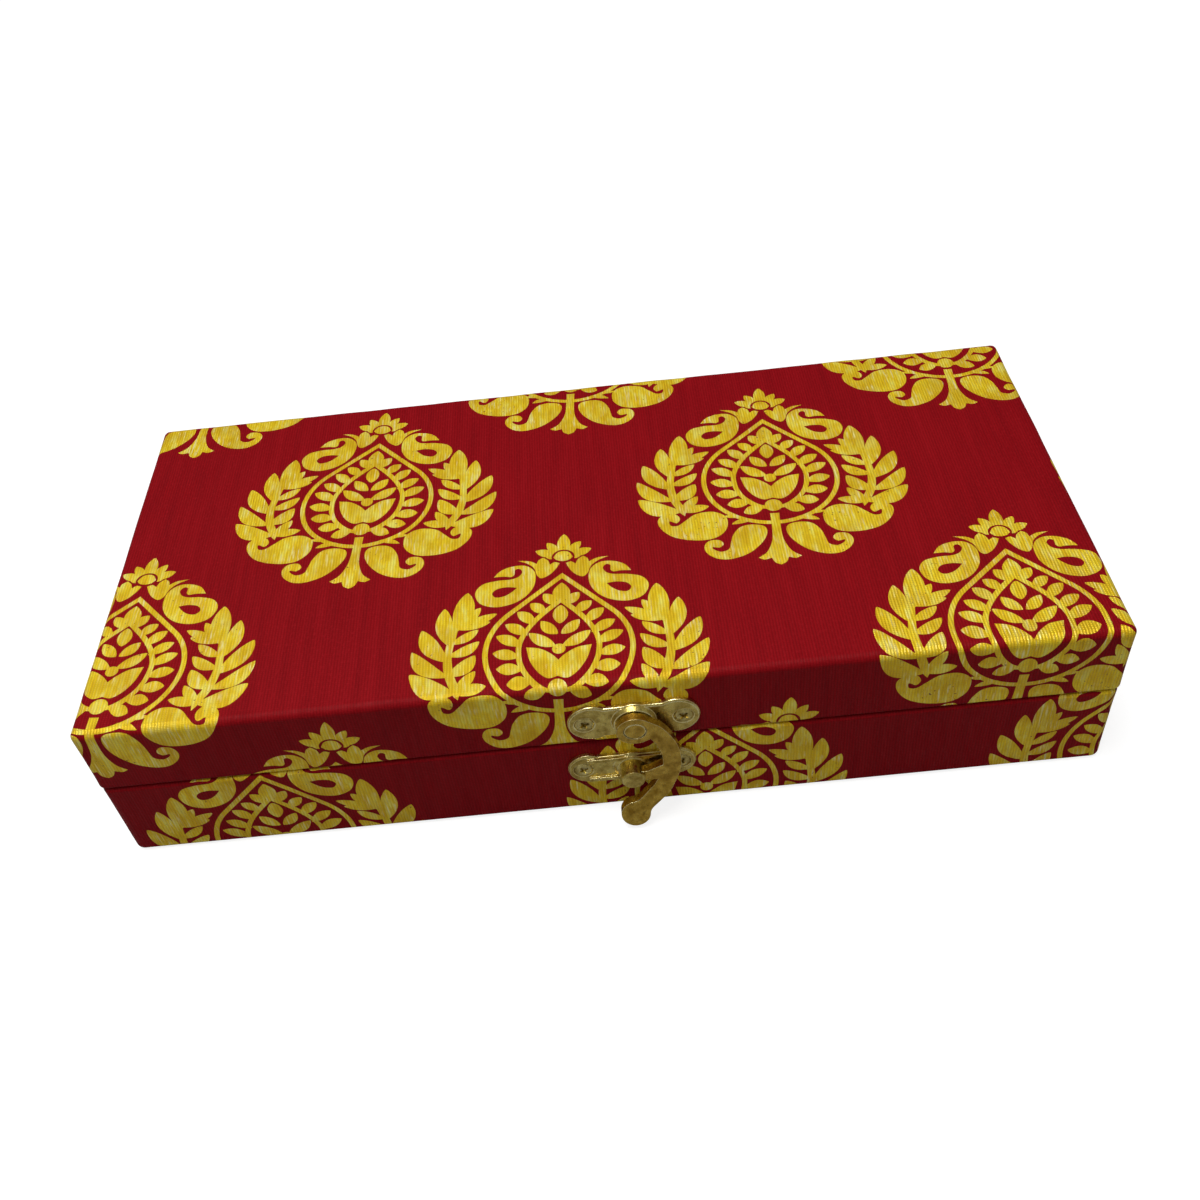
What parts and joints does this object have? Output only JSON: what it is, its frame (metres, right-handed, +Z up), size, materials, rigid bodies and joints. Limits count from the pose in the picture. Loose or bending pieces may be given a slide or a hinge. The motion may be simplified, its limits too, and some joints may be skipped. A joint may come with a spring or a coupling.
{
  "type": "wedding gift box",
  "caption": "Hinged rectangular gift box for banknotes, board wrapped in printed fabric, with a swing-hook clasp in front.",
  "frame": {"origin": "centre of the box's underside", "axes": "+X along the length, to the right of someone who faces the clasp; +Y from the clasp to the hinges; +Z up"},
  "size_m": [0.19, 0.0995, 0.036],
  "materials": {
    "board": "raw fibre board",
    "printed_fabric": "woven, gold foil print",
    "lining": "soft nap",
    "underside": "matt bonded sheet",
    "brass": "antique brass plating"
  },
  "bodies": {
    "base": {"base_bottom_panel": "board", "base_front_wall": "board", "base_back_wall": "board", "base_left_wall": "board", "base_right_wall": "board", "base_cover": "printed_fabric", "base_wall_lining": "lining", "base_floor_lining": "lining", "base_underside_sheet": "underside", "clasp_lower_plate": "brass", "clasp_lower_screws": "brass", "clasp_stud": "brass", "hinge_left_base_leaf": "brass", "hinge_right_base_leaf": "brass", "hinge_left_pin": "brass", "hinge_right_pin": "brass", "hinge_base_screws": "brass"},
    "lid": {"lid_top_panel": "board", "lid_front_wall": "board", "lid_back_wall": "board", "lid_left_wall": "board", "lid_right_wall": "board", "lid_cover": "printed_fabric", "lid_wall_lining": "lining", "lid_ceiling_lining": "lining", "clasp_upper_plate": "brass", "clasp_upper_screws": "brass", "clasp_rivet": "brass", "hinge_left_lid_leaf": "brass", "hinge_right_lid_leaf": "brass", "hinge_lid_screws": "brass"},
    "hook": {"clasp_hook": "brass"}
  },
  "joints": [
    {"name": "lid_hinge", "type": "hinge", "parent": "base", "child": "lid", "pos_m": [0, 0.0468, 0.02], "axis": [-1, 0, 0], "range_deg": [0, 180]},
    {"name": "hook_swing", "type": "hinge", "parent": "lid", "child": "hook", "pos_m": [0.0056, -0.0478, 0.0264], "axis": [0, -1, 0], "range_deg": [0, 180]}
  ]
}
